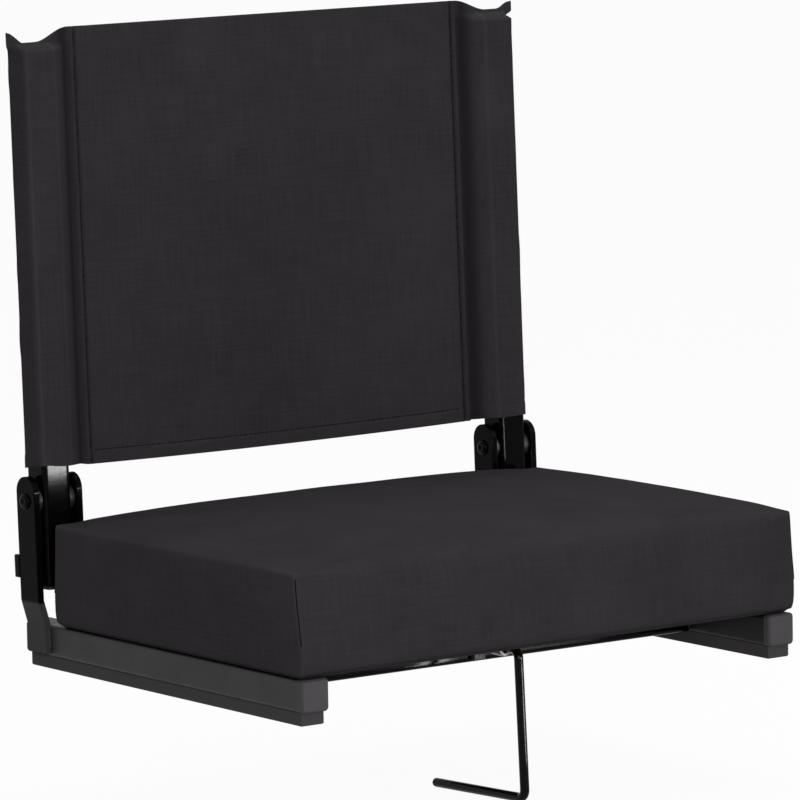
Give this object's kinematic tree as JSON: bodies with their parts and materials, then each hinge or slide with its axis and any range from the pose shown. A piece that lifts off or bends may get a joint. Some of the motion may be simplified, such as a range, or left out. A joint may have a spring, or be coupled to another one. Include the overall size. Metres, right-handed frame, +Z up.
{
  "type": "stadium chair",
  "caption": "Folding stadium chair: padded seat on square-tube runners, hinged canvas back, and a swinging hook that grips the bench from below.",
  "frame": {"origin": "middle of the runners' length and of the chair's width, on the bench plane that the foot strips rest on", "axes": "+Z up, +Y to the rear where the back stands, +X to the right as seen from the front"},
  "size_m": [0.439, 0.3376, 0.5261],
  "materials": {
    "frame_paint": "semi-gloss black powder coat",
    "hinge_paint": "gloss black paint",
    "hook_paint": "gloss black paint on round rod",
    "cap_plastic": "moulded black plastic",
    "foot_rubber": "matt black rubber",
    "washer_nylon": "black nylon",
    "zinc": "dull zinc plate",
    "plywood": "bare plywood",
    "foam": "open-cell foam",
    "seat_cloth": "charcoal woven polyester",
    "back_canvas": "charcoal canvas"
  },
  "bodies": {
    "seat_base": {"left_runner": "frame_paint", "left_front_cap": "cap_plastic", "left_rear_cap": "cap_plastic", "left_foot_strip": "foot_rubber", "left_pivot_pin": "hinge_paint", "left_outer_arm": "hinge_paint", "left_outer_spacer": "washer_nylon", "left_inner_arm": "hinge_paint", "left_inner_spacer": "washer_nylon", "right_runner": "frame_paint", "right_front_cap": "cap_plastic", "right_rear_cap": "cap_plastic", "right_foot_strip": "foot_rubber", "right_pivot_pin": "hinge_paint", "right_outer_arm": "hinge_paint", "right_outer_spacer": "washer_nylon", "right_inner_arm": "hinge_paint", "right_inner_spacer": "washer_nylon", "front_cross_tube": "frame_paint", "rear_cross_tube": "frame_paint", "foot_screws": "zinc", "seat_screws": "zinc", "seat_board": "plywood", "seat_foam": "foam", "seat_cover": "seat_cloth", "hook_bearing": "frame_paint", "hook_hanger": "zinc", "hanger_screws": "zinc"},
    "backrest": {"left_back_tube": "hinge_paint", "left_top_plug": "cap_plastic", "left_bottom_plug": "cap_plastic", "right_back_tube": "hinge_paint", "right_top_plug": "cap_plastic", "right_bottom_plug": "cap_plastic", "stop_bar": "hinge_paint", "stop_bar_rivets": "hinge_paint", "back_sling": "back_canvas"},
    "bench_hook": {"hook_rod": "hook_paint", "hook_retainer": "cap_plastic"}
  },
  "joints": [
    {"name": "backrest_fold", "type": "hinge", "parent": "seat_base", "child": "backrest", "pos_m": [0, 0.1485, 0.117], "axis": [1, 0, 0], "range_deg": [0, 91]},
    {"name": "hook_swing", "type": "hinge", "parent": "seat_base", "child": "bench_hook", "pos_m": [0, -0.09, 0.023], "axis": [0, 1, 0], "range_deg": [-79.5, 79.5]}
  ]
}
